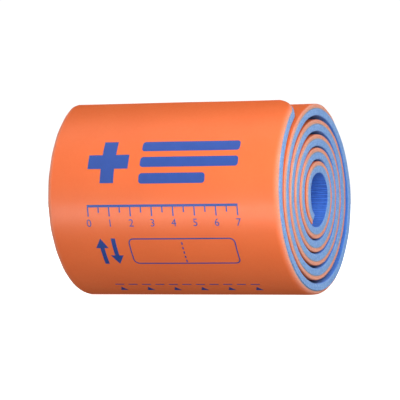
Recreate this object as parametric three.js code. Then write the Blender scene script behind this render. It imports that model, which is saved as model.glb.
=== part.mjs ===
import * as THREE from "three";

// A foam splint rolled up for storage: a soft aluminium sheet between two layers of foam, wound
// into a loose spiral that lies on its side. Lengths are in millimetres, +Z is up, the roll's axis
// is along X, and -Y is the front. The origin is under the middle of the roll, where it rests.

// The strip
const STRIP_WIDTH = 108.4;
const OUTER_FOAM = 1.6;
const CORE_SHEET = 0.4;
const INNER_FOAM = 2.9;
const BOND_GAP = 0.1;
const CORE_INSET = 0.3;
const OUTER_EDGE_ROUND = 1.2;
const INNER_EDGE_BEVEL = 0.5;
const TIP_CORNER_RADIUS = 1.5;

// The roll. Angles are in degrees in the YZ plane, from +Y towards +Z. The strip winds from its
// inner tip over the front and the top to the back, and its outer end is the flap.
const HOLE_RADIUS = 8.25;
const TURN_GAP = 1.08;
const TIP_ANGLE = 246;
const FLAP_ANGLE = 112;
const FRONT_ANGLE = 180;
const REST_WIDTH = 8;

// The flap's corners on the +X side and on the -X side. Over its last stretch the strip's edge on
// the +X side has drawn in as well.
const RIGHT_CORNER_RADIUS = 10;
const LEFT_CORNER_RADIUS = 4;
const FLAP_DRAW_IN = 1.9;
const DRAW_IN_TURNS = 0.4;

// The air under each turn, added up from the hole outwards, in shares of TURN_GAP. A row is one
// turn, and each number is larger than the one above it.
const DIRECTIONS = [
  "front", "front_top", "top", "back_top", "back", "back_bottom", "bottom", "front_bottom",
];
const SLACK = [
  [-1.35, -0.65, -0.05, 1.25, 1.15, -0.05, -0.1, 0.5],
  [0.85, 0.65, 0.8, 1.5, 1.45, 0.3, 0.55, 1.45],
  [2.05, 1.45, 1.35, 2.3, 2.1, 1.15, 1.2, 2.0],
  [2.8, 2.65, 2.7, 3.05, 2.85, 2.0, 2.3, 2.9],
  [3.9, 4.05, 4.25, 4.4, 5.85, 5.45, 3.65, 3.75],
  [4.85, 4.7, 4.5, 5.0, 6.3, 5.9, 4.1, 4.3],
];

// The same for the last three directions before the first row, where the inner tip curls in.
const SLACK_BEFORE = [0.65, 0.25, -0.4];

// How finely the curves are cut into faces
const STEPS_PER_TURN = 40;
const CORNER_STEPS = 6;
const ROUND_STEPS = 2;
const CLOSEST_STATIONS = 0.0005;

const THICKNESS = OUTER_FOAM + CORE_SHEET + INNER_FOAM + 2 * BOND_GAP;
const EDGE_ROUND = Math.min(OUTER_EDGE_ROUND, OUTER_FOAM);
const TIP_TURN = (FRONT_ANGLE - TIP_ANGLE) / 360;
const FLAP_TURN = (FRONT_ANGLE - FLAP_ANGLE) / 360 + SLACK.length - 1;

// The slack at any turn, on a smooth curve through the table.
const slackKnots = [...SLACK_BEFORE, ...SLACK.flat()];
const slackCurve = new THREE.SplineCurve(slackKnots.map((slack, i) => new THREE.Vector2(i, slack)));

function slackAt(turn) {
  const knot = DIRECTIONS.length * turn + SLACK_BEFORE.length;
  return slackCurve.getPoint(knot / (slackKnots.length - 1)).y;
}

function outerRadius(turn) {
  return HOLE_RADIUS + THICKNESS * (1 + turn - TIP_TURN) + TURN_GAP * slackAt(turn);
}

// A point of the strip's outer face in the YZ plane, about the roll's axis.
function outerPoint(turn) {
  const angle = THREE.MathUtils.degToRad(FRONT_ANGLE - 360 * turn);
  const radius = outerRadius(turn);
  return new THREE.Vector2(radius * Math.cos(angle), radius * Math.sin(angle));
}

function outwardNormal(turn) {
  const step = 1e-3;
  const along = outerPoint(turn + step).sub(outerPoint(turn - step)).normalize();
  return new THREE.Vector2(-along.y, along.x);
}

// The flat on which the roll rests, centred on the lowest point of the outermost turn.
function lowestTurn() {
  let lowest = FLAP_TURN;
  for (let turn = FLAP_TURN - 1; turn < FLAP_TURN; turn += 1e-3) {
    if (outerPoint(turn).y < outerPoint(lowest).y) {
      lowest = turn;
    }
  }
  return lowest;
}

const REST_TURN = lowestTurn();
const REST_HALF_TURNS = REST_WIDTH / 2 / (2 * Math.PI * outerRadius(REST_TURN));
const REST_FROM = REST_TURN - REST_HALF_TURNS;
const REST_TO = REST_TURN + REST_HALF_TURNS;
const REST_LEVEL = Math.max(outerPoint(REST_FROM).y, outerPoint(REST_TO).y);

// Distances along the strip from its two ends
const FLAP_LENGTH_PER_TURN = 2 * Math.PI * outerRadius(FLAP_TURN);
const TIP_LENGTH_PER_TURN = 2 * Math.PI * outerRadius(TIP_TURN);

function fromFlap(turn) {
  return (FLAP_TURN - turn) * FLAP_LENGTH_PER_TURN;
}

function fromTip(turn) {
  return (turn - TIP_TURN) * TIP_LENGTH_PER_TURN;
}

// How far a quarter circle of the given radius has fallen away, at a distance from its end.
function fallAway(radius, distance) {
  const left = Math.max(radius - distance, 0);
  return radius - Math.sqrt(Math.max(radius * radius - left * left, 0));
}

// How far the strip reaches from its middle line, to its edges on the +X side and the -X side.
function reach(turn, cornerRadius) {
  const flap = fallAway(cornerRadius, fromFlap(turn));
  const tip = fallAway(TIP_CORNER_RADIUS, fromTip(turn));
  return STRIP_WIDTH / 2 - Math.max(flap, tip);
}

function rightReach(turn) {
  const share = Math.max(1 - (FLAP_TURN - turn) / DRAW_IN_TURNS, 0);
  return reach(turn, RIGHT_CORNER_RADIUS) - FLAP_DRAW_IN * share * share;
}

function leftReach(turn) {
  return reach(turn, LEFT_CORNER_RADIUS);
}

// The turns at which the strip's section is set: even steps, and closer ones in the round corners,
// at the flap's rounded end and at both sides of the flat.
function stationTurns() {
  const turns = [TIP_TURN, REST_FROM, REST_TO, FLAP_TURN];
  const first = Math.ceil(TIP_TURN * STEPS_PER_TURN);
  for (let i = first; i / STEPS_PER_TURN < FLAP_TURN; i += 1) {
    turns.push(i / STEPS_PER_TURN);
  }
  for (const radius of [RIGHT_CORNER_RADIUS, LEFT_CORNER_RADIUS]) {
    for (let i = 1; i <= CORNER_STEPS; i += 1) {
      const share = 1 - Math.cos((i / CORNER_STEPS) * (Math.PI / 2));
      turns.push(FLAP_TURN - (share * radius) / FLAP_LENGTH_PER_TURN);
    }
  }
  for (let i = 1; i <= ROUND_STEPS; i += 1) {
    const share = 1 - Math.cos((i / ROUND_STEPS) * (Math.PI / 2));
    turns.push(FLAP_TURN - (share * EDGE_ROUND) / FLAP_LENGTH_PER_TURN);
    turns.push(TIP_TURN + (share * TIP_CORNER_RADIUS) / TIP_LENGTH_PER_TURN);
  }
  turns.sort((a, b) => a - b);
  return turns.filter((turn, i) => i === 0 || turn - turns[i - 1] > CLOSEST_STATIONS);
}

// One layer of the strip: a section at each station, as pairs of a place across the strip and a
// depth under the strip's outer face, joined into a closed tube with flat ends.
function layer(name, material, sectionAt) {
  const positions = [];
  const faces = [];
  const stations = stationTurns();
  const corners = sectionAt(TIP_TURN).length;
  for (const turn of stations) {
    const origin = outerPoint(turn);
    const normal = outwardNormal(turn);
    const onFlat = turn >= REST_FROM && turn <= REST_TO;
    for (const [across, depth] of sectionAt(turn)) {
      const y = origin.x - depth * normal.x;
      const z = origin.y - depth * normal.y;
      positions.push(across, y, onFlat ? Math.max(z, REST_LEVEL) : z);
    }
  }
  for (let i = 0; i + 1 < stations.length; i += 1) {
    for (let j = 0; j < corners; j += 1) {
      const a = i * corners + j;
      const b = i * corners + ((j + 1) % corners);
      faces.push(a, a + corners, b, b, a + corners, b + corners);
    }
  }
  const last = (stations.length - 1) * corners;
  for (let j = 1; j + 1 < corners; j += 1) {
    faces.push(0, j, j + 1, last, last + j + 1, last + j);
  }
  const geometry = new THREE.BufferGeometry();
  geometry.setAttribute("position", new THREE.Float32BufferAttribute(positions, 3));
  geometry.setIndex(faces);
  geometry.computeVertexNormals();
  const mesh = new THREE.Mesh(geometry, material);
  mesh.name = name;
  return mesh;
}

// The outer foam: its outer face is rounded over at the long edges and at the flap's end.
function roundedEdge(edge, end) {
  const points = [];
  for (let i = 0; i <= ROUND_STEPS; i += 1) {
    const angle = (i / ROUND_STEPS) * (Math.PI / 2);
    const across = edge - EDGE_ROUND * (1 - Math.cos(angle));
    points.push([across, Math.max(EDGE_ROUND * (1 - Math.sin(angle)), end)]);
  }
  return points;
}

function outerFoamSection(turn) {
  const right = rightReach(turn);
  const left = leftReach(turn);
  const end = fallAway(EDGE_ROUND, fromFlap(turn));
  const leftEdge = roundedEdge(left, end).map(([across, depth]) => [-across, depth]);
  const under = [[-left, OUTER_FOAM], [right, OUTER_FOAM]];
  return [...under, ...roundedEdge(right, end), ...leftEdge.reverse()];
}

function coreSection(turn) {
  const right = rightReach(turn) - CORE_INSET;
  const left = leftReach(turn) - CORE_INSET;
  const top = OUTER_FOAM + BOND_GAP;
  const under = top + CORE_SHEET;
  return [[-left, under], [right, under], [right, top], [-left, top]];
}

// The inner foam: the long edges of its inner face are bevelled.
function innerFoamSection(turn) {
  const right = rightReach(turn);
  const left = leftReach(turn);
  const top = THICKNESS - INNER_FOAM;
  const bevel = Math.min(INNER_EDGE_BEVEL, INNER_FOAM / 2);
  return [
    [-left + bevel, THICKNESS],
    [right - bevel, THICKNESS],
    [right, THICKNESS - bevel],
    [right, top],
    [-left, top],
    [-left, THICKNESS - bevel],
  ];
}

const orangeFoam = new THREE.MeshStandardMaterial({ color: 0xfa8a54, roughness: 0.55, metalness: 0 });
const aluminium = new THREE.MeshStandardMaterial({ color: 0xb9bdc2, roughness: 0.4, metalness: 1 });
const blueFoam = new THREE.MeshStandardMaterial({ color: 0x5b93dc, roughness: 0.75, metalness: 0 });

const roll = new THREE.Group();
roll.add(layer("outer_foam", orangeFoam, outerFoamSection));
roll.add(layer("core_sheet", aluminium, coreSection));
roll.add(layer("inner_foam", blueFoam, innerFoamSection));

// The roll is set down with its lowest face at Z = 0 and its middle over the origin.
const box = new THREE.Box3().setFromObject(roll);
const middle = box.getCenter(new THREE.Vector3());
roll.position.set(-middle.x, -middle.y, -box.min.z);

export default roll;
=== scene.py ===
import math

import bmesh
import bpy
import numpy as np
from mathutils import Matrix, Vector


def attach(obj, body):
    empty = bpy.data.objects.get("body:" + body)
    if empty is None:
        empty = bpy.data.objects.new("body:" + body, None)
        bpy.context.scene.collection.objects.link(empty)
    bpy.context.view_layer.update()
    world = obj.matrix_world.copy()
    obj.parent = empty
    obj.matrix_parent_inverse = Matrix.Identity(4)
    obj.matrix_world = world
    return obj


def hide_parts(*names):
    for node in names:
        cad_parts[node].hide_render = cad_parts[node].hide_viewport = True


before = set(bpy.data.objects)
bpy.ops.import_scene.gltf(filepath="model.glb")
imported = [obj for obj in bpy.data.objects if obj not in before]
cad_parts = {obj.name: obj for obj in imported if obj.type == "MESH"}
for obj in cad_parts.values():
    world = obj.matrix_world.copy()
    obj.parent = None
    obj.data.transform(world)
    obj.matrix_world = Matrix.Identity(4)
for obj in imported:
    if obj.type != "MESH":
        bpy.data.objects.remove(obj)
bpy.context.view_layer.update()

# The looks of a foam splint that is rolled up for storage. Lengths are in metres, +Z is up, the
# roll's axis is along X and -Y is the front. A place on the strip is given by the turn along it, the
# place across it and the depth under its outer face.

MM = 0.001

# The strip, as the part's solids have it
STRIP_WIDTH = 108.4 * MM
OUTER_FOAM = 1.6 * MM
CORE_SHEET = 0.4 * MM
INNER_FOAM = 2.9 * MM
BOND_GAP = 0.1 * MM
INNER_EDGE_BEVEL = 0.5 * MM
RIGHT_CORNER_RADIUS = 10 * MM
LEFT_CORNER_RADIUS = 4 * MM
TIP_CORNER_RADIUS = 1.5 * MM
FLAP_DRAW_IN = 1.9 * MM
DRAW_IN_TURNS = 0.4
THICKNESS = OUTER_FOAM + CORE_SHEET + INNER_FOAM + 2 * BOND_GAP

# The roll, as the part's solids have it. Angles are in degrees, from +Y towards +Z.
HOLE_RADIUS = 8.25 * MM
TURN_GAP = 1.08 * MM
TIP_ANGLE = 246
FLAP_ANGLE = 112
FRONT_ANGLE = 180
REST_WIDTH = 8 * MM
SOLID_STEPS_PER_TURN = 40

# The air under each turn, added up from the hole outwards, in shares of TURN_GAP: a row for each
# turn, and a column for each eighth of it, from the front over the top to the back.
SLACK_BEFORE = [0.65, 0.25, -0.4]
SLACK = [
    [-1.35, -0.65, -0.05, 1.25, 1.15, -0.05, -0.1, 0.5],
    [0.85, 0.65, 0.8, 1.5, 1.45, 0.3, 0.55, 1.45],
    [2.05, 1.45, 1.35, 2.3, 2.1, 1.15, 1.2, 2.0],
    [2.8, 2.65, 2.7, 3.05, 2.85, 2.0, 2.3, 2.9],
    [3.9, 4.05, 4.25, 4.4, 5.85, 5.45, 3.65, 3.75],
    [4.85, 4.7, 4.5, 5.0, 6.3, 5.9, 4.1, 4.3],
]
KNOTS_PER_TURN = 8
KNOTS = np.array(SLACK_BEFORE + [slack for row in SLACK for slack in row])
LAST_KNOT = len(KNOTS) - 1
TIP_TURN = (FRONT_ANGLE - TIP_ANGLE) / 360
FLAP_TURN = (FRONT_ANGLE - FLAP_ANGLE) / 360 + (len(SLACK) - 1)

# How the long edges of the outer foam are rolled over: the width and the depth of the roll, how far
# the edge stands back, and how narrow the pale cut is on it. On the outermost turn the edges, here
# the one on the +X side and the one on the -X side, are drawn down much further, to the sheet.
EDGE_ROLL = (0.8 * MM, 0.5 * MM, 0.0, 1.0)
LAST_ROLL = {
    1: (2.8 * MM, 1.6 * MM, 0.45 * MM, 3.0),
    -1: (2.3 * MM, 1.25 * MM, 0.0, 1.3),
}
LAST_ROLL_FROM = 4.27
LAST_ROLL_TURNS = 0.09

# The finer forms of the cut edges
FLAP_ROUND = 1.25 * MM
UNDER_INSET = 0.15 * MM
BOND_REACH = 0.09 * MM
SHEET_SET_BACK = 0.08 * MM
SHEET_CHAMFER = 0.08 * MM
SHEET_WANDER_SHARE = 0.4
SIDE_BULGE = 0.05 * MM
EDGE_WANDER = 0.09 * MM
WANDER_LENGTHS = [47 * MM, 21 * MM, 11.3 * MM]

# Wrinkles that the inner foam has where it is bent tightly
WRINKLE_PITCH = 1.3 * MM
WRINKLE_DEPTH = 0.45 * MM
WRINKLED_TURNS = 1.35
WRINKLE_FADE_TURNS = 0.4

# How finely the layers are cut into faces
OUTER_STEP = 1.9 * MM
SHEET_STEP = 2.2 * MM
INNER_STEP = 2.2 * MM
WRINKLE_STEP = 0.2 * MM
CLOSEST_STATIONS = 0.04 * MM
CORNER_STATIONS = 9
TIP_STATIONS = 4
ROLL_POINTS = 9
OUTER_FACE_POINTS = 33
INNER_FACE_POINTS = 41
BEVEL_POINTS = 4

# Where two faces fold by more than this angle, in radians, the edge between them is a crease.
CREASE_ANGLE = 0.6


# The spiral


def slack_at(turn):
    """The air under the strip at a turn, on a smooth curve through the table."""
    knot = KNOTS_PER_TURN * np.asarray(turn, float) + len(SLACK_BEFORE)
    knot = np.clip(knot, 0, LAST_KNOT - 1e-6)
    i = np.floor(knot).astype(int)
    w = knot - i
    before, here = KNOTS[np.maximum(i - 1, 0)], KNOTS[i]
    after, later = KNOTS[np.minimum(i + 1, LAST_KNOT)], KNOTS[np.minimum(i + 2, LAST_KNOT)]
    leave, arrive = (after - before) / 2, (later - here) / 2
    cubic = (2 * here - 2 * after + leave + arrive) * w**3
    square = (3 * after - 3 * here - 2 * leave - arrive) * w**2
    return cubic + square + leave * w + here


def outer_radius(turn):
    """The distance of the strip's outer face from the roll's axis."""
    return HOLE_RADIUS + THICKNESS * (1 + turn - TIP_TURN) + TURN_GAP * slack_at(turn)


def outer_point(turn):
    """Points of the strip's outer face in the YZ plane, about the roll's axis."""
    angle = math.pi - 2 * math.pi * np.asarray(turn, float)
    radius = outer_radius(turn)
    return np.stack([radius * np.cos(angle), radius * np.sin(angle)], -1)


def outward(turn):
    """Unit vectors in the YZ plane that point out of the strip's outer face."""
    along = outer_point(turn + 1e-3) - outer_point(turn - 1e-3)
    along /= np.linalg.norm(along, axis=-1, keepdims=True)
    return np.stack([-along[..., 1], along[..., 0]], -1)


def roll_axis():
    """Where the axis is once the roll lies on its flat, with its middle over the origin."""
    first = math.ceil(TIP_TURN * SOLID_STEPS_PER_TURN)
    solid_turns = np.arange(first, FLAP_TURN * SOLID_STEPS_PER_TURN) / SOLID_STEPS_PER_TURN
    depths = outer_point(solid_turns)[:, 0]
    last_turn = np.arange(FLAP_TURN - 1, FLAP_TURN, 1e-3)
    lowest = last_turn[outer_point(last_turn)[:, 1].argmin()]
    half_flat = REST_WIDTH / 2 / (2 * math.pi * outer_radius(lowest))
    level = max(outer_point(lowest - half_flat)[1], outer_point(lowest + half_flat)[1])
    return Vector((0, -(depths.min() + depths.max()) / 2, -level))


AXIS = roll_axis()

# The length of the strip's outer face, from the tip
TURNS = np.linspace(TIP_TURN, FLAP_TURN, 12001)
STEPS = np.linalg.norm(np.diff(outer_point(TURNS), axis=0), axis=1)
LENGTHS = np.concatenate([[0], np.cumsum(STEPS)])
STRIP_LENGTH = LENGTHS[-1]


def length_at(turn):
    return np.interp(turn, TURNS, LENGTHS)


def turn_at(length):
    return np.interp(length, LENGTHS, TURNS)


def fall_away(radius, distance):
    """How far a quarter circle has fallen away at a distance from its end."""
    left = np.maximum(radius - distance, 0)
    return radius - np.sqrt(np.maximum(radius**2 - left**2, 0))


def draw_in_at(turn):
    """How far the edge on the +X side has drawn in, over the strip's last stretch."""
    share = np.maximum(1 - (FLAP_TURN - turn) / DRAW_IN_TURNS, 0)
    return FLAP_DRAW_IN * share**2


def reach(turns, side):
    """How far the strip reaches from its middle line, to its edge on the +X or the -X side."""
    radius = RIGHT_CORNER_RADIUS if side > 0 else LEFT_CORNER_RADIUS
    flap = fall_away(radius, STRIP_LENGTH - length_at(turns))
    tip = fall_away(TIP_CORNER_RADIUS, length_at(turns))
    return (STRIP_WIDTH / 2 - np.maximum(flap, tip))[:, None]


def waves(seed, place, lengths, size):
    """A smooth uneven curve along the strip: a few sines of unlike lengths."""
    value = 0.0
    for i, length in enumerate(lengths):
        phase = seed * 2.399 + i * 1.7
        value = value + math.cos(seed * 1.3 + i) * np.sin(2 * math.pi * place / length + phase)
    return size * value / math.sqrt(len(lengths))


def edge_wander(turns, seed):
    """How far a cut edge stands out of line. The knife left a slight wave in each layer."""
    return waves(seed, length_at(turns), WANDER_LENGTHS, EDGE_WANDER)[:, None]


def swell(turn, across):
    """The unevenness of the soft strip, as a height over its even face."""
    place = length_at(turn)
    along_it = waves(1, place + 0.6 * across, [71 * MM, 113 * MM], 0.07 * MM)
    across_it = waves(2, across, [61 * MM, 94 * MM], 0.06 * MM)
    fade = np.clip((turn + 0.2) / 3, 0.15, 1)
    return fade * (along_it + across_it)


def place_points(turn, across, depth):
    """Points of the strip in the part's frame, for arrays of turns, places across and depths."""
    turn, across, depth = np.broadcast_arrays(turn, across, depth)
    plane = outer_point(turn) + outward(turn) * (swell(turn, across) - depth)[..., None]
    x = AXIS.x + across - draw_in_at(turn) * np.clip(across / (STRIP_WIDTH / 2), 0, 1)
    return np.stack([x, AXIS.y + plane[..., 0], np.maximum(AXIS.z + plane[..., 1], 0)], -1)


# Meshes


def stations(step, wrinkle_step=None):
    """Turns at which a layer is cut: even steps in length, closer ones at the round corners of both
    ends, and much closer ones over the wrinkled stretch of a layer that has wrinkles."""
    lengths = []
    even_from = 0.0
    if wrinkle_step:
        even_from = float(length_at(TIP_TURN + WRINKLED_TURNS))
        lengths += list(np.arange(0, even_from, wrinkle_step))
    count = int((STRIP_LENGTH - even_from) / step) + 2
    lengths += list(np.linspace(even_from, STRIP_LENGTH, count))
    for radius in (RIGHT_CORNER_RADIUS, LEFT_CORNER_RADIUS, FLAP_ROUND):
        shares = 1 - np.cos(np.linspace(0, math.pi / 2, CORNER_STATIONS))
        lengths += list(STRIP_LENGTH - radius * shares)
    shares = 1 - np.cos(np.linspace(0, math.pi / 2, TIP_STATIONS))
    lengths += list(TIP_CORNER_RADIUS * shares)
    lengths = np.unique(np.round(lengths, 7))
    kept = [lengths[0]]
    for length in lengths[1:]:
        if length - kept[-1] > CLOSEST_STATIONS:
            kept.append(length)
    turns = turn_at(np.array(kept))
    turns[0], turns[-1] = TIP_TURN, FLAP_TURN
    return turns


def new_piece(name, points, faces, values):
    """A mesh object with smooth faces, creases where it folds sharply, and a number at each point
    for each of the values."""
    mesh = bpy.data.meshes.new(name)
    mesh.from_pydata(points.tolist(), [], faces)
    for key, numbers in values.items():
        attribute = mesh.attributes.new(key, "FLOAT", "POINT")
        attribute.data.foreach_set("value", np.ravel(numbers).astype(np.float32))
    mesh.validate()
    form = bmesh.new()
    form.from_mesh(mesh)
    bmesh.ops.recalc_face_normals(form, faces=form.faces)
    for edge in form.edges:
        if len(edge.link_faces) == 2:
            edge.smooth = edge.calc_face_angle() < CREASE_ANGLE
    for face in form.faces:
        face.smooth = True
    form.to_mesh(mesh)
    form.free()
    piece = bpy.data.objects.new(name, mesh)
    bpy.context.scene.collection.objects.link(piece)
    return piece


def strip_layer(name, turns, section):
    """One layer of the strip. section gives, for all turns, the places across and the depths of its
    corners, a column for each corner, and the values that the layer's material reads there."""
    across, depth, values = section(turns)
    rows, corners = across.shape
    points = place_points(turns[:, None], across, depth).reshape(-1, 3)
    i = np.arange(rows - 1)[:, None]
    j = np.arange(corners)[None, :]
    a = i * corners + j
    b = i * corners + (j + 1) % corners
    faces = np.stack([a, a + corners, b + corners, b], -1).reshape(-1, 4).tolist()
    faces += end_faces(0, corners)
    faces += end_faces((rows - 1) * corners, corners)
    return new_piece(name, points, faces, values)


def end_faces(first, corners):
    """The flat end of a layer: its ring of corners, closed with a ladder of faces across it."""
    faces = []
    low, high = 0, corners - 1
    while high - low > 1:
        if high - low == 2:
            faces.append([first + low, first + low + 1, first + high])
        else:
            faces.append([first + low, first + low + 1, first + high - 1, first + high])
        low, high = low + 1, high - 1
    return faces


def beside(turns, *parts):
    """Parts of a section side by side, with a row for each turn. A part is a number, a list of
    numbers for all turns alike, or an array that has a row for each turn."""
    full = []
    for part in parts:
        part = np.atleast_2d(part)
        full.append(np.broadcast_to(part, (len(turns), part.shape[1])))
    return np.concatenate(full, 1)


def edge_roll(turns, side):
    """The four measures of the outer foam's rolled edge, each as a column."""
    last = np.clip((turns[:, None] - LAST_ROLL_FROM) / LAST_ROLL_TURNS, 0, 1)
    return [a + last * (b - a) for a, b in zip(EDGE_ROLL, LAST_ROLL[side])]


def rolled_edge(turns, side, seed, end):
    """One long edge of the outer foam, from the cut up to the start of the face. Places across are
    measured outwards. end is how far the flap's end has fallen away."""
    width, drawn, back, narrow = edge_roll(turns, side)
    edge = reach(turns, side) - back
    angle = np.linspace(0, math.pi / 2, ROLL_POINTS)[None, :]
    return {
        "edge": edge,
        "start": edge - width,
        "across": edge - width * (1 - np.cos(angle)) + edge_wander(turns, seed) * np.cos(angle),
        "depth": np.maximum(drawn * (1 - np.sin(angle)), end),
        "cut": np.cos(angle) ** narrow,
    }


def outer_foam_section(turns):
    """The outer foam: a smooth face whose long edges, and whose end at the flap, are drawn down
    over the cut."""
    end = fall_away(FLAP_ROUND, STRIP_LENGTH - length_at(turns))[:, None]
    right = rolled_edge(turns, 1, 8, end)
    left = rolled_edge(turns, -1, 3, end)
    share = np.linspace(1, 0, OUTER_FACE_POINTS)[None, 1:-1]
    face = share * right["start"] - (1 - share) * left["start"]
    face_depth = np.broadcast_to(end, face.shape)
    under = [UNDER_INSET - left["edge"], 0, right["edge"] - UNDER_INSET]
    under_depth = [OUTER_FOAM + BOND_REACH] * 3
    across = beside(turns, *under, right["across"], face, -left["across"][:, ::-1])
    depth = beside(turns, under_depth, right["depth"], face_depth, left["depth"][:, ::-1])
    cut = beside(turns, [1] * 3, right["cut"], 0 * face, left["cut"][:, ::-1])
    return across, depth, {"cut": cut}


def core_section(turns):
    """The aluminium sheet: a thin strip with sheared edges."""
    foam_back = edge_roll(turns, 1)[2]
    right = reach(turns, 1) - SHEET_SET_BACK - foam_back + SHEET_WANDER_SHARE * edge_wander(turns, 14)
    left = SHEET_SET_BACK - reach(turns, -1) - SHEET_WANDER_SHARE * edge_wander(turns, 9)
    chamfer = SHEET_CHAMFER
    top = OUTER_FOAM + BOND_GAP
    under = top + CORE_SHEET
    corners = [
        (left + chamfer, under),
        (0, under),
        (right - chamfer, under),
        (right, under - chamfer),
        (right, top + chamfer),
        (right - chamfer, top),
        (0, top),
        (left + chamfer, top),
        (left, top + chamfer),
        (left, under - chamfer),
    ]
    across, depth = zip(*corners)
    return beside(turns, *across), beside(turns, *depth), {}


def furrows(place, shift=0.0):
    """Sharp furrows, one for each whole step of place: 1 at the bottom and 0 between them."""
    return (1 - np.abs(np.sin(math.pi * place + shift))) ** 1.3


def wrinkles(turns, across):
    """How deep the furrows are that run along the roll's axis, where the bend presses the inner
    foam together. Two rows of furrows drift across each other."""
    place = length_at(turns)[:, None]
    drift = 0.4 * MM * np.sin(across / (9 * MM) + 3 * np.sin(place / (14 * MM)))
    drift = drift + 0.25 * MM * np.sin(across / (3.7 * MM) + place / (2.9 * MM))
    first = furrows((place + drift) / WRINKLE_PITCH)
    second = furrows((place - 0.7 * drift) / (1.73 * WRINKLE_PITCH), 0.8)
    fade = np.clip((WRINKLED_TURNS - (turns[:, None] - TIP_TURN)) / WRINKLE_FADE_TURNS, 0, 1)
    strength = 0.75 + 0.25 * np.sin(across / (17 * MM) + place / (5.3 * MM))
    return WRINKLE_DEPTH * fade * strength * np.maximum(first, 0.75 * second)


def inner_foam_section(turns):
    """The inner foam: its free face has soft bevelled edges, and wrinkles in the tightest turns.
    Its cut sides bulge a little between the face and the sheet."""
    right = reach(turns, 1) + edge_wander(turns, 24)
    left = reach(turns, -1) + edge_wander(turns, 19)
    top = THICKNESS - INNER_FOAM - BOND_REACH
    share = np.linspace(-1, 1, INNER_FACE_POINTS)[None, :]
    face = share * (np.where(share > 0, right, left) - INNER_EDGE_BEVEL)
    folds = wrinkles(turns, face)
    bevel = np.linspace(0, math.pi / 2, BEVEL_POINTS)[1:]
    bulge_depths = [THICKNESS - 1.2 * MM, top + 0.7 * MM]
    side = np.concatenate([INNER_EDGE_BEVEL * (1 - np.sin(bevel)), [-SIDE_BULGE, -SIDE_BULGE, 0]])
    side_depth = np.concatenate([THICKNESS - INNER_EDGE_BEVEL * (1 - np.cos(bevel)), bulge_depths, [top]])
    side_cut = np.concatenate([np.sin(bevel), [1, 1, 1]])
    across = beside(turns, face, right - side, 0, (side - left)[:, ::-1])
    depth = beside(turns, THICKNESS - folds, side_depth, top, side_depth[::-1])
    cut = beside(turns, 0 * face, side_cut, 1, side_cut[::-1])
    # furrow is the wrinkles' depth. The blue foam's material turns it into painted shade at the bottom of
    # the furrows.
    furrow = beside(turns, folds / WRINKLE_DEPTH, 0 * side_cut, 0, 0 * side_cut)
    return across, depth, {"cut": cut, "furrow": furrow}


# Materials


class Nodes:
    """A short way to write the node tree of a material or of the world."""

    def __init__(self, owner):
        owner.use_nodes = True
        self.owner = owner
        self.tree = owner.node_tree
        self.shader = self.tree.nodes.get("Principled BSDF")

    def add(self, kind, **settings):
        node = self.tree.nodes.new(kind)
        for key, value in settings.items():
            setattr(node, key, value)
        return node

    def link(self, source, target):
        self.tree.links.new(source, target)

    def put(self, value, socket):
        """Sets a socket to a number, or links it to an output."""
        if isinstance(value, (int, float)):
            socket.default_value = value
        elif value is not None:
            self.link(value, socket)

    def shade(self, key, source):
        """Links one of the shader's sockets to an output."""
        self.link(source, self.shader.inputs[key])

    def set(self, values):
        """Sets the shader's sockets that are the same all over the surface."""
        for key, value in values.items():
            self.shader.inputs[key].default_value = value

    def number(self, key):
        """A value that is stored at the points of the mesh."""
        return self.add("ShaderNodeAttribute", attribute_name=key).outputs["Fac"]

    def place(self):
        return self.add("ShaderNodeTexCoord").outputs["Object"]

    def noise(self, scale, detail, rough, stretch=None):
        source = self.place()
        if stretch:
            mapping = self.add("ShaderNodeMapping")
            mapping.inputs["Scale"].default_value = stretch
            self.link(source, mapping.inputs["Vector"])
            source = mapping.outputs["Vector"]
        node = self.add("ShaderNodeTexNoise")
        for key, value in (("Scale", scale), ("Detail", detail), ("Roughness", rough)):
            node.inputs[key].default_value = value
        self.link(source, node.inputs["Vector"])
        return node.outputs["Fac"]

    def cells(self, scale):
        node = self.add("ShaderNodeTexVoronoi")
        node.inputs["Scale"].default_value = scale
        self.link(self.place(), node.inputs["Vector"])
        return node.outputs["Distance"]

    def math(self, operation, a, b, clamp=False):
        node = self.add("ShaderNodeMath", operation=operation, use_clamp=clamp)
        self.put(a, node.inputs[0])
        self.put(b, node.inputs[1])
        return node.outputs["Value"]

    def times(self, a, b):
        return self.math("MULTIPLY", a, b)

    def plus(self, a, b):
        return self.math("ADD", a, b)

    def spread(self, value, low, high, new_low=0.0, new_high=1.0, smooth=False):
        """A value spread from one range to another. The new range's ends may be outputs too."""
        node = self.add("ShaderNodeMapRange", interpolation_type="SMOOTHSTEP" if smooth else "LINEAR")
        ends = {"From Min": low, "From Max": high, "To Min": new_low, "To Max": new_high}
        for key, end in ends.items():
            self.put(end, node.inputs[key])
        self.link(value, node.inputs["Value"])
        return node.outputs["Result"]

    def mix(self, share, a, b):
        node = self.add("ShaderNodeMix", data_type="RGBA")
        for socket, value in ((node.inputs[0], share), (node.inputs[6], a), (node.inputs[7], b)):
            if isinstance(value, tuple):
                socket.default_value = (*value, 1.0)
            else:
                self.put(value, socket)
        return node.outputs[2]

    def bump(self, height, strength, distance, before=None):
        node = self.add("ShaderNodeBump")
        node.inputs["Strength"].default_value = strength
        node.inputs["Distance"].default_value = distance
        self.link(height, node.inputs["Height"])
        if before is not None:
            self.link(before, node.inputs["Normal"])
        return node.outputs["Normal"]


def linear(red, green, blue):
    """A colour given in the usual 0 to 255 steps, as the shader wants it."""
    steps = [value / 255 for value in (red, green, blue)]
    return tuple(v / 12.92 if v <= 0.04045 else ((v + 0.055) / 1.055) ** 2.4 for v in steps)


def skin_grain(n):
    """The fine relief of the orange foam's skin, which shows through the ink too."""
    return n.bump(n.noise(1500, 3, 0.65), 0.25, 0.12 * MM)


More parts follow.
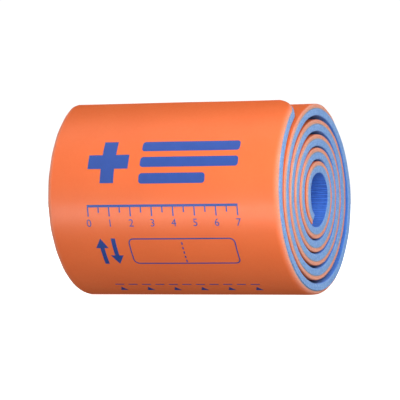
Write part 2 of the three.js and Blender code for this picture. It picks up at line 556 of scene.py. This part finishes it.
def orange_foam_material():
    """Closed-cell foam with a smooth satin skin, and paler, matt, porous cuts."""
    n = Nodes(bpy.data.materials.new("orange_foam"))
    cut = n.number("cut")
    mottle = n.spread(n.noise(45, 4, 0.55), 0.3, 0.7)
    grain = n.spread(n.noise(900, 3, 0.6), 0.3, 0.7)
    pores = n.spread(n.cells(2200), 0.15, 0.6)
    skin = n.mix(mottle, linear(242, 113, 57), linear(246, 118, 61))
    skin = n.mix(n.times(grain, 0.25), skin, linear(238, 108, 53))
    cut_colour = n.mix(pores, linear(232, 140, 112), linear(244, 170, 146))
    n.shade("Base Color", n.mix(cut, skin, cut_colour))
    skin_roughness = n.spread(grain, 0, 1, 0.40, 0.50)
    n.shade("Roughness", n.math("ADD", skin_roughness, n.times(cut, 0.3), clamp=True))
    n.set({
        "Specular IOR Level": 0.25,
        "Subsurface Weight": 0.08,
        "Subsurface Radius": (1.0, 0.45, 0.25),
        "Subsurface Scale": 0.8 * MM,
    })
    relief = n.bump(n.noise(160, 3, 0.5), 0.25, 0.3 * MM, skin_grain(n))
    n.shade("Normal", n.bump(n.times(pores, cut), 0.6, 0.15 * MM, relief))
    return n.owner


def blue_foam_material():
    """Softer closed-cell foam: an even face, with painted shade that darkens it where its wrinkles are
    deep, and a porous cut.
    """
    n = Nodes(bpy.data.materials.new("blue_foam"))
    pores = n.spread(n.cells(1500), 0.1, 0.65)
    fine_pores = n.spread(n.cells(3600), 0.1, 0.65)
    mottle = n.spread(n.noise(420, 4, 0.65), 0.3, 0.7)
    specks = n.spread(n.noise(1100, 3, 0.6), 0.35, 0.65)
    face = n.mix(mottle, linear(66, 128, 232), linear(78, 140, 242))
    # Painted shade: the face is mixed towards a dark blue by the depth of the wrinkles' furrows, standing
    # in for the shadow that lies in them.
    face = n.mix(n.number("furrow"), face, linear(30, 76, 172))
    low_cut = n.mix(mottle, linear(80, 133, 206), linear(98, 151, 220))
    cut_colour = n.mix(n.times(n.plus(pores, specks), 0.5), low_cut, linear(142, 184, 238))
    n.shade("Base Color", n.mix(n.number("cut"), face, cut_colour))
    n.set({
        "Roughness": 0.78,
        "Specular IOR Level": 0.3,
        "Sheen Weight": 0.1,
        "Sheen Roughness": 0.6,
        "Subsurface Weight": 0.08,
        "Subsurface Radius": (0.3, 0.5, 1.0),
        "Subsurface Scale": 0.8 * MM,
    })
    relief = n.bump(n.plus(pores, n.times(fine_pores, 0.5)), 0.55, 0.18 * MM)
    n.shade("Normal", n.bump(n.noise(300, 3, 0.55), 0.3, 0.3 * MM, relief))
    return n.owner


def aluminium_material():
    """Soft annealed sheet, dull and a little uneven, with fine rolled lines along the strip."""
    n = Nodes(bpy.data.materials.new("aluminium_sheet"))
    lines = n.spread(n.noise(1, 4, 0.6, stretch=(9000, 600, 600)), 0.3, 0.7)
    n.shade("Base Color", n.mix(lines, linear(168, 168, 172), linear(196, 196, 200)))
    n.shade("Roughness", n.spread(lines, 0, 1, 0.45, 0.62))
    n.shade("Normal", n.bump(lines, 0.3, 0.05 * MM))
    n.set({"Metallic": 0.35})
    return n.owner


def ink_material():
    """Printed ink: flat blue, thin enough that the foam's grain shows in it, and a little uneven."""
    n = Nodes(bpy.data.materials.new("blue_ink"))
    grain = n.spread(n.noise(1300, 3, 0.6), 0.3, 0.7)
    patches = n.spread(n.noise(220, 3, 0.6), 0.25, 0.75)
    colour = n.mix(patches, linear(28, 68, 146), linear(34, 74, 156))
    n.shade("Base Color", n.mix(n.times(grain, 0.15), colour, linear(60, 74, 138)))
    n.shade("Roughness", n.spread(grain, 0, 1, 0.42, 0.55))
    n.shade("Normal", skin_grain(n))
    n.set({"Specular IOR Level": 0.25})
    return n.owner


def dress(piece, material):
    """Gives a piece its material. Every piece rides on the roll's one body."""
    piece.data.materials.append(material)
    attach(piece, "root")


# The layers


def add_outer_foam():
    piece = strip_layer("orange_foam_layer", stations(OUTER_STEP), outer_foam_section)
    dress(piece, orange_foam_material())
    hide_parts("outer_foam")


def add_core_sheet():
    piece = strip_layer("aluminium_sheet_layer", stations(SHEET_STEP), core_section)
    dress(piece, aluminium_material())
    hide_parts("core_sheet")


def add_inner_foam():
    piece = strip_layer("blue_foam_layer", stations(INNER_STEP, WRINKLE_STEP), inner_foam_section)
    dress(piece, blue_foam_material())
    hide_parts("inner_foam")


# The print. Its shapes are in millimetres on the flat strip: x across it, and y along it, up from
# the roll's front.

INK_OVER = 0.05 * MM
INK_UNDER = 0.04 * MM
INK_STEP = 1.2
FRONT_LENGTH = float(length_at(len(SLACK) - 1.0))
FINE_LINE = 0.6


def box_shape(left, low, right, high):
    return [(left, low), (right, low), (right, high), (left, high)]


def round_box(left, low, right, high, radius, steps=5):
    """A rectangle with round corners."""
    centres = [
        (right - radius, high - radius),
        (left + radius, high - radius),
        (left + radius, low + radius),
        (right - radius, low + radius),
    ]
    points = []
    for i, (x, y) in enumerate(centres):
        for step in range(steps + 1):
            angle = math.radians(90 * (i + step / steps))
            points.append((x + radius * math.cos(angle), y + radius * math.sin(angle)))
    return points


def round_box_line(left, low, right, high, radius, line):
    """The outline of a rectangle with round corners, as a four-sided shape for each of its steps."""
    outside = round_box(left, low, right, high, radius)
    inside = round_box(left + line, low + line, right - line, high - line, radius - line)
    shapes = []
    for i in range(len(outside)):
        after = (i + 1) % len(outside)
        shapes.append([outside[i], outside[after], inside[after], inside[i]])
    return shapes


def arrow_shape(x, tail, tip):
    """A straight arrow along the strip, from tail to tip."""
    half, head, head_half = 1.0, 4.8, 2.976
    way = 1 if tip > tail else -1
    neck = tip - way * head
    points = [(x - half, tail), (x + half, tail), (x + half, neck), (x + head_half, neck), (x, tip)]
    points += [(x - head_half, neck), (x - half, neck)]
    return points[::way]


def number_shapes(text, x, y, height):
    """The faces of a plain number, centred on x, with its foot at y."""
    curve = bpy.data.curves.new("number", "FONT")
    curve.body = text
    curve.size = height / 0.7
    curve.align_x = "CENTER"
    curve.resolution_u = 3
    holder = bpy.data.objects.new("number", curve)
    mesh = bpy.data.meshes.new_from_object(holder)
    points = [(x + vertex.co.x, y + vertex.co.y) for vertex in mesh.vertices]
    shapes = [[points[i] for i in face.vertices] for face in mesh.polygons]
    bpy.data.objects.remove(holder)
    bpy.data.curves.remove(curve)
    bpy.data.meshes.remove(mesh)
    return shapes


def plus_shapes():
    """A plain plus sign with straight arms."""
    x, y, arm, half = -26, 16.5, 9.5, 3.2
    quarter = [(half, half), (half, arm), (-half, arm)]
    points = []
    for cosine, sine in ((1, 0), (0, 1), (-1, 0), (0, -1)):
        points += [(x + cosine * px - sine * py, y + sine * px + cosine * py) for px, py in quarter]
    return [points]


def bar_shapes():
    """Three bars with round corners, the lowest of them short."""
    left, height, radius = -11, 4.6, 1.4
    right_at_level = {21.2: 35, 13.9: 35, 6.6: 20}
    return [round_box(left, low, right, low + height, radius) for low, right in right_at_level.items()]


# The centimetre scale: its ends, its level and the distance of its ticks
SCALE_LEFT = -35
SCALE_RIGHT = 35
SCALE_LEVEL = -3.4
TICK_STEP = 5


def scale_ticks():
    """The place of each tick from the left, with its number, or with None for a half."""
    count = (SCALE_RIGHT - SCALE_LEFT) // TICK_STEP + 1
    return [(SCALE_LEFT + TICK_STEP * i, None if i % 2 else i // 2) for i in range(count)]


def scale_shapes():
    """The scale's line, with a long tick for each centimetre and a short one for each half."""
    half, height, long_tick, short_tick = FINE_LINE / 2, 1.1, 4.0, 2.4
    shapes = [box_shape(SCALE_LEFT - half, SCALE_LEVEL, SCALE_RIGHT + half, SCALE_LEVEL + height)]
    for x, number in scale_ticks():
        tick = short_tick if number is None else long_tick
        shapes.append(box_shape(x - half, SCALE_LEVEL - tick, x + half, SCALE_LEVEL))
    return shapes


def scale_number_shapes():
    """A plain number under each long tick of the scale."""
    drop, height = 8.6, 3.4
    shapes = []
    for x, number in scale_ticks():
        if number is not None:
            shapes += number_shapes(str(number), x, SCALE_LEVEL - drop, height)
    return shapes


def strip_outline_shapes():
    """The outline of a long strip with round corners, and a dashed line across its middle."""
    low, high, middle, dash, dash_step = -31, -17.5, 7, 1.3, 2.3
    shapes = round_box_line(-18, low, 32, high, 2.5, 0.55)
    for y in np.arange(low + 1.0, high - 1.0, dash_step):
        shapes.append(box_shape(middle - FINE_LINE / 2, y, middle + FINE_LINE / 2, y + dash))
    return shapes


def arrow_shapes():
    """Two arrows side by side, one up and one down."""
    low, high = -31, -17.5
    return [arrow_shape(-31, low, high), arrow_shape(-25, high, low)]


def cut_line_shapes():
    """A dashed line across the strip, and a small triangle under every second dash."""
    left, right, level, dash, dash_step = -33, 32, -46.6, 4.2, 6.4
    foot, tip, width = -53, -49, 3.6
    shapes = [box_shape(x, level, x + dash, level + FINE_LINE) for x in np.arange(left, right, dash_step)]
    for x in np.arange(left, right, 2 * dash_step):
        shapes.append([(x, foot), (x + width, foot), (x + width / 2, tip)])
    return shapes


def flat_form(shapes):
    """The shapes as one flat mesh, triangulated and cut finely enough to follow the foam's curve."""
    form = bmesh.new()
    for shape in shapes:
        form.faces.new([form.verts.new((x, y, 0)) for x, y in shape])
    bmesh.ops.remove_doubles(form, verts=form.verts, dist=0.002)
    bmesh.ops.triangulate(form, faces=form.faces)
    for way in (Vector((1, 0, 0)), Vector((0, 1, 0))):
        places = [v.co.dot(way) for v in form.verts]
        level = math.floor(min(places) / INK_STEP) * INK_STEP
        while level < max(places):
            parts = form.verts[:] + form.edges[:] + form.faces[:]
            bmesh.ops.bisect_plane(form, geom=parts, plane_co=way * level, plane_no=way, dist=1e-5)
            level += INK_STEP
    bmesh.ops.triangulate(form, faces=form.faces)
    bmesh.ops.recalc_face_normals(form, faces=form.faces)
    form.verts.index_update()
    return form


def print_piece(name, shapes, material):
    """Flat shapes laid on the outer foam as a thin closed layer of ink that follows its curve."""
    form = flat_form(shapes)
    flat = np.array([v.co[:2] for v in form.verts])
    tops = [[v.index for v in face.verts] for face in form.faces]
    rims = [[v.index for v in edge.verts] for edge in form.edges if edge.is_boundary]
    form.free()
    turns = turn_at(FRONT_LENGTH + flat[:, 1] * MM)
    top = place_points(turns, flat[:, 0] * MM, -INK_OVER)
    under = place_points(turns, flat[:, 0] * MM, INK_UNDER)
    count = len(flat)
    faces = tops + [[v + count for v in face[::-1]] for face in tops]
    faces += [[a, b, b + count, a + count] for a, b in rims]
    piece = new_piece(name, np.concatenate([top, under]), faces, {})
    dress(piece, material)


def add_print():
    ink = ink_material()
    print_piece("print_plus", plus_shapes(), ink)
    print_piece("print_bars", bar_shapes(), ink)
    print_piece("print_scale", scale_shapes(), ink)
    print_piece("print_scale_numbers", scale_number_shapes(), ink)
    print_piece("print_strip_outline", strip_outline_shapes(), ink)
    print_piece("print_arrows", arrow_shapes(), ink)
    print_piece("print_cut_line", cut_line_shapes(), ink)


# The stage

MIDDLE = Vector((0, 0, 0.042))
CAMERA_PLACE = Vector((515.62, -1216.90, 41.62)) * MM
CAMERA_AZIMUTH = 23.0
CAMERA_ROLL = 0.61
LENS = 270
SENSOR = 36


def floor_material():
    """A plain white floor, with a little light of its own so that the shadows on it stay faint."""
    n = Nodes(bpy.data.materials.new("pale_floor"))
    n.set({
        "Base Color": (0.9, 0.9, 0.9, 1),
        "Roughness": 0.9,
        "Specular IOR Level": 0.1,
        "Emission Color": (1, 1, 1, 1),
        "Emission Strength": 0.9,
    })
    return n.owner


def add_floor():
    """A wide floor just under the roll, which neither lights it nor shows in its gloss."""
    half = 20.0
    mesh = bpy.data.meshes.new("floor")
    corners = [(-half, -half, 0), (half, -half, 0), (half, half, 0), (-half, half, 0)]
    mesh.from_pydata(corners, [], [(0, 1, 2, 3)])
    mesh.materials.append(floor_material())
    floor = bpy.data.objects.new("floor", mesh)
    floor.location.z = -0.05 * MM
    floor.visible_diffuse = False
    floor.visible_glossy = False
    bpy.context.scene.collection.objects.link(floor)


def direction(azimuth, elevation):
    """A unit vector towards a direction. Azimuth 0 is in front of the roll, and 90 is beside its
    end on the +X side."""
    turn, rise = math.radians(azimuth), math.radians(elevation)
    return Vector((math.sin(turn) * math.cos(rise), -math.cos(turn) * math.cos(rise), math.sin(rise)))


def add_lamp(name, kind, place, way, **settings):
    """A lamp at a place that shines along a way. The settings are the lamp's own values."""
    lamp = bpy.data.lights.new(name, kind)
    for key, value in settings.items():
        setattr(lamp, key, value)
    light = bpy.data.objects.new(name, lamp)
    light.location = place
    light.rotation_euler = way.to_track_quat("-Z", "Y").to_euler()
    bpy.context.scene.collection.objects.link(light)
    return light


def add_back_light():
    """A far soft light on the roll's back, which its gloss doesn't mirror."""
    way = -direction(200, 12)
    light = add_lamp("back_light", "SUN", MIDDLE, way, energy=1.1, angle=math.radians(40))
    light.visible_glossy = False


def add_near_panel():
    """A near soft panel of light at the front, which falls off towards the far end of the roll."""
    from_middle = direction(40, 14)
    place = MIDDLE + from_middle * 0.34
    light = add_lamp("near_panel", "AREA", place, -from_middle, shape="SQUARE", size=0.25, energy=0.82)
    light.visible_camera = False


def add_low_strip():
    """A low strip of light in front, which only shows as a soft band of gloss along the roll."""
    place, target = Vector((-0.055, -0.125, 0.003)), Vector((-0.055, -0.044, 0.036))
    sizes = {"shape": "RECTANGLE", "size": 0.34, "size_y": 0.017}
    light = add_lamp("low_strip", "AREA", place, target - place, energy=0.46, **sizes)
    light.visible_diffuse = False
    light.visible_camera = False


def add_world(seen, front, ground, back, mirrored_front, mirrored_over):
    """A plain pale surround. seen is its brightness behind the object. front, ground and back are the
    light that it gives from the front, where the camera is, from below the front, and from behind
    and above. What the object's gloss mirrors of it is bright in front and overhead."""
    world = bpy.data.worlds.new("surround")
    n = Nodes(world)
    split = n.add("ShaderNodeSeparateXYZ")
    n.link(n.add("ShaderNodeTexCoord").outputs["Generated"], split.inputs["Vector"])
    y, z = split.outputs["Y"], split.outputs["Z"]
    backward = n.plus(y, n.times(z, 1.2))
    forward = n.spread(z, -0.7, -0.2, ground, front, smooth=True)
    felt = n.spread(backward, 0.35, -0.45, back, forward, smooth=True)
    above = n.spread(z, -0.1, 0.3, 0.0, mirrored_front, smooth=True)
    in_front = n.times(above, n.spread(y, -0.4, -0.8, smooth=True))
    high = n.times(n.spread(z, 0.0, 0.5, 0.0, mirrored_over), n.spread(y, -0.7, -0.35, smooth=True))
    overhead = n.times(high, n.spread(y, 0.15, -0.1, smooth=True))
    ray = n.add("ShaderNodeLightPath").outputs
    strength = n.spread(ray["Is Glossy Ray"], 0, 1, felt, n.plus(in_front, overhead))
    background = n.tree.nodes["Background"]
    background.inputs["Color"].default_value = (1, 1, 1, 1)
    n.link(n.spread(ray["Is Camera Ray"], 0, 1, strength, seen), background.inputs["Strength"])
    bpy.context.scene.world = world


def add_camera():
    """A long lens, level with the middle of the roll and to the right of its front."""
    turn, tilt = math.radians(CAMERA_AZIMUTH), math.radians(CAMERA_ROLL)
    right = Vector((math.cos(turn), math.sin(turn), 0))
    ahead = Vector((-math.sin(turn), math.cos(turn), 0))
    up = Vector((0, 0, 1))
    tilted_right = right * math.cos(tilt) - up * math.sin(tilt)
    tilted_up = right * math.sin(tilt) + up * math.cos(tilt)
    axes = Matrix((tilted_right, tilted_up, -ahead)).transposed().to_4x4()
    lens = bpy.data.cameras.new("camera")
    lens.sensor_width = SENSOR
    lens.lens = LENS
    lens.clip_start, lens.clip_end = 0.05, 50
    camera = bpy.data.objects.new("camera", lens)
    camera.matrix_world = Matrix.Translation(CAMERA_PLACE) @ axes
    bpy.context.scene.collection.objects.link(camera)
    bpy.context.scene.camera = camera


add_outer_foam()
add_core_sheet()
add_inner_foam()
add_print()

add_floor()
add_world(seen=1.05, front=0.57, ground=0.5, back=0.45, mirrored_front=5.2, mirrored_over=6.0)
add_near_panel()
add_back_light()
add_low_strip()
add_camera()
bpy.context.scene.view_settings.view_transform = "Standard"

bpy.context.view_layer.update()
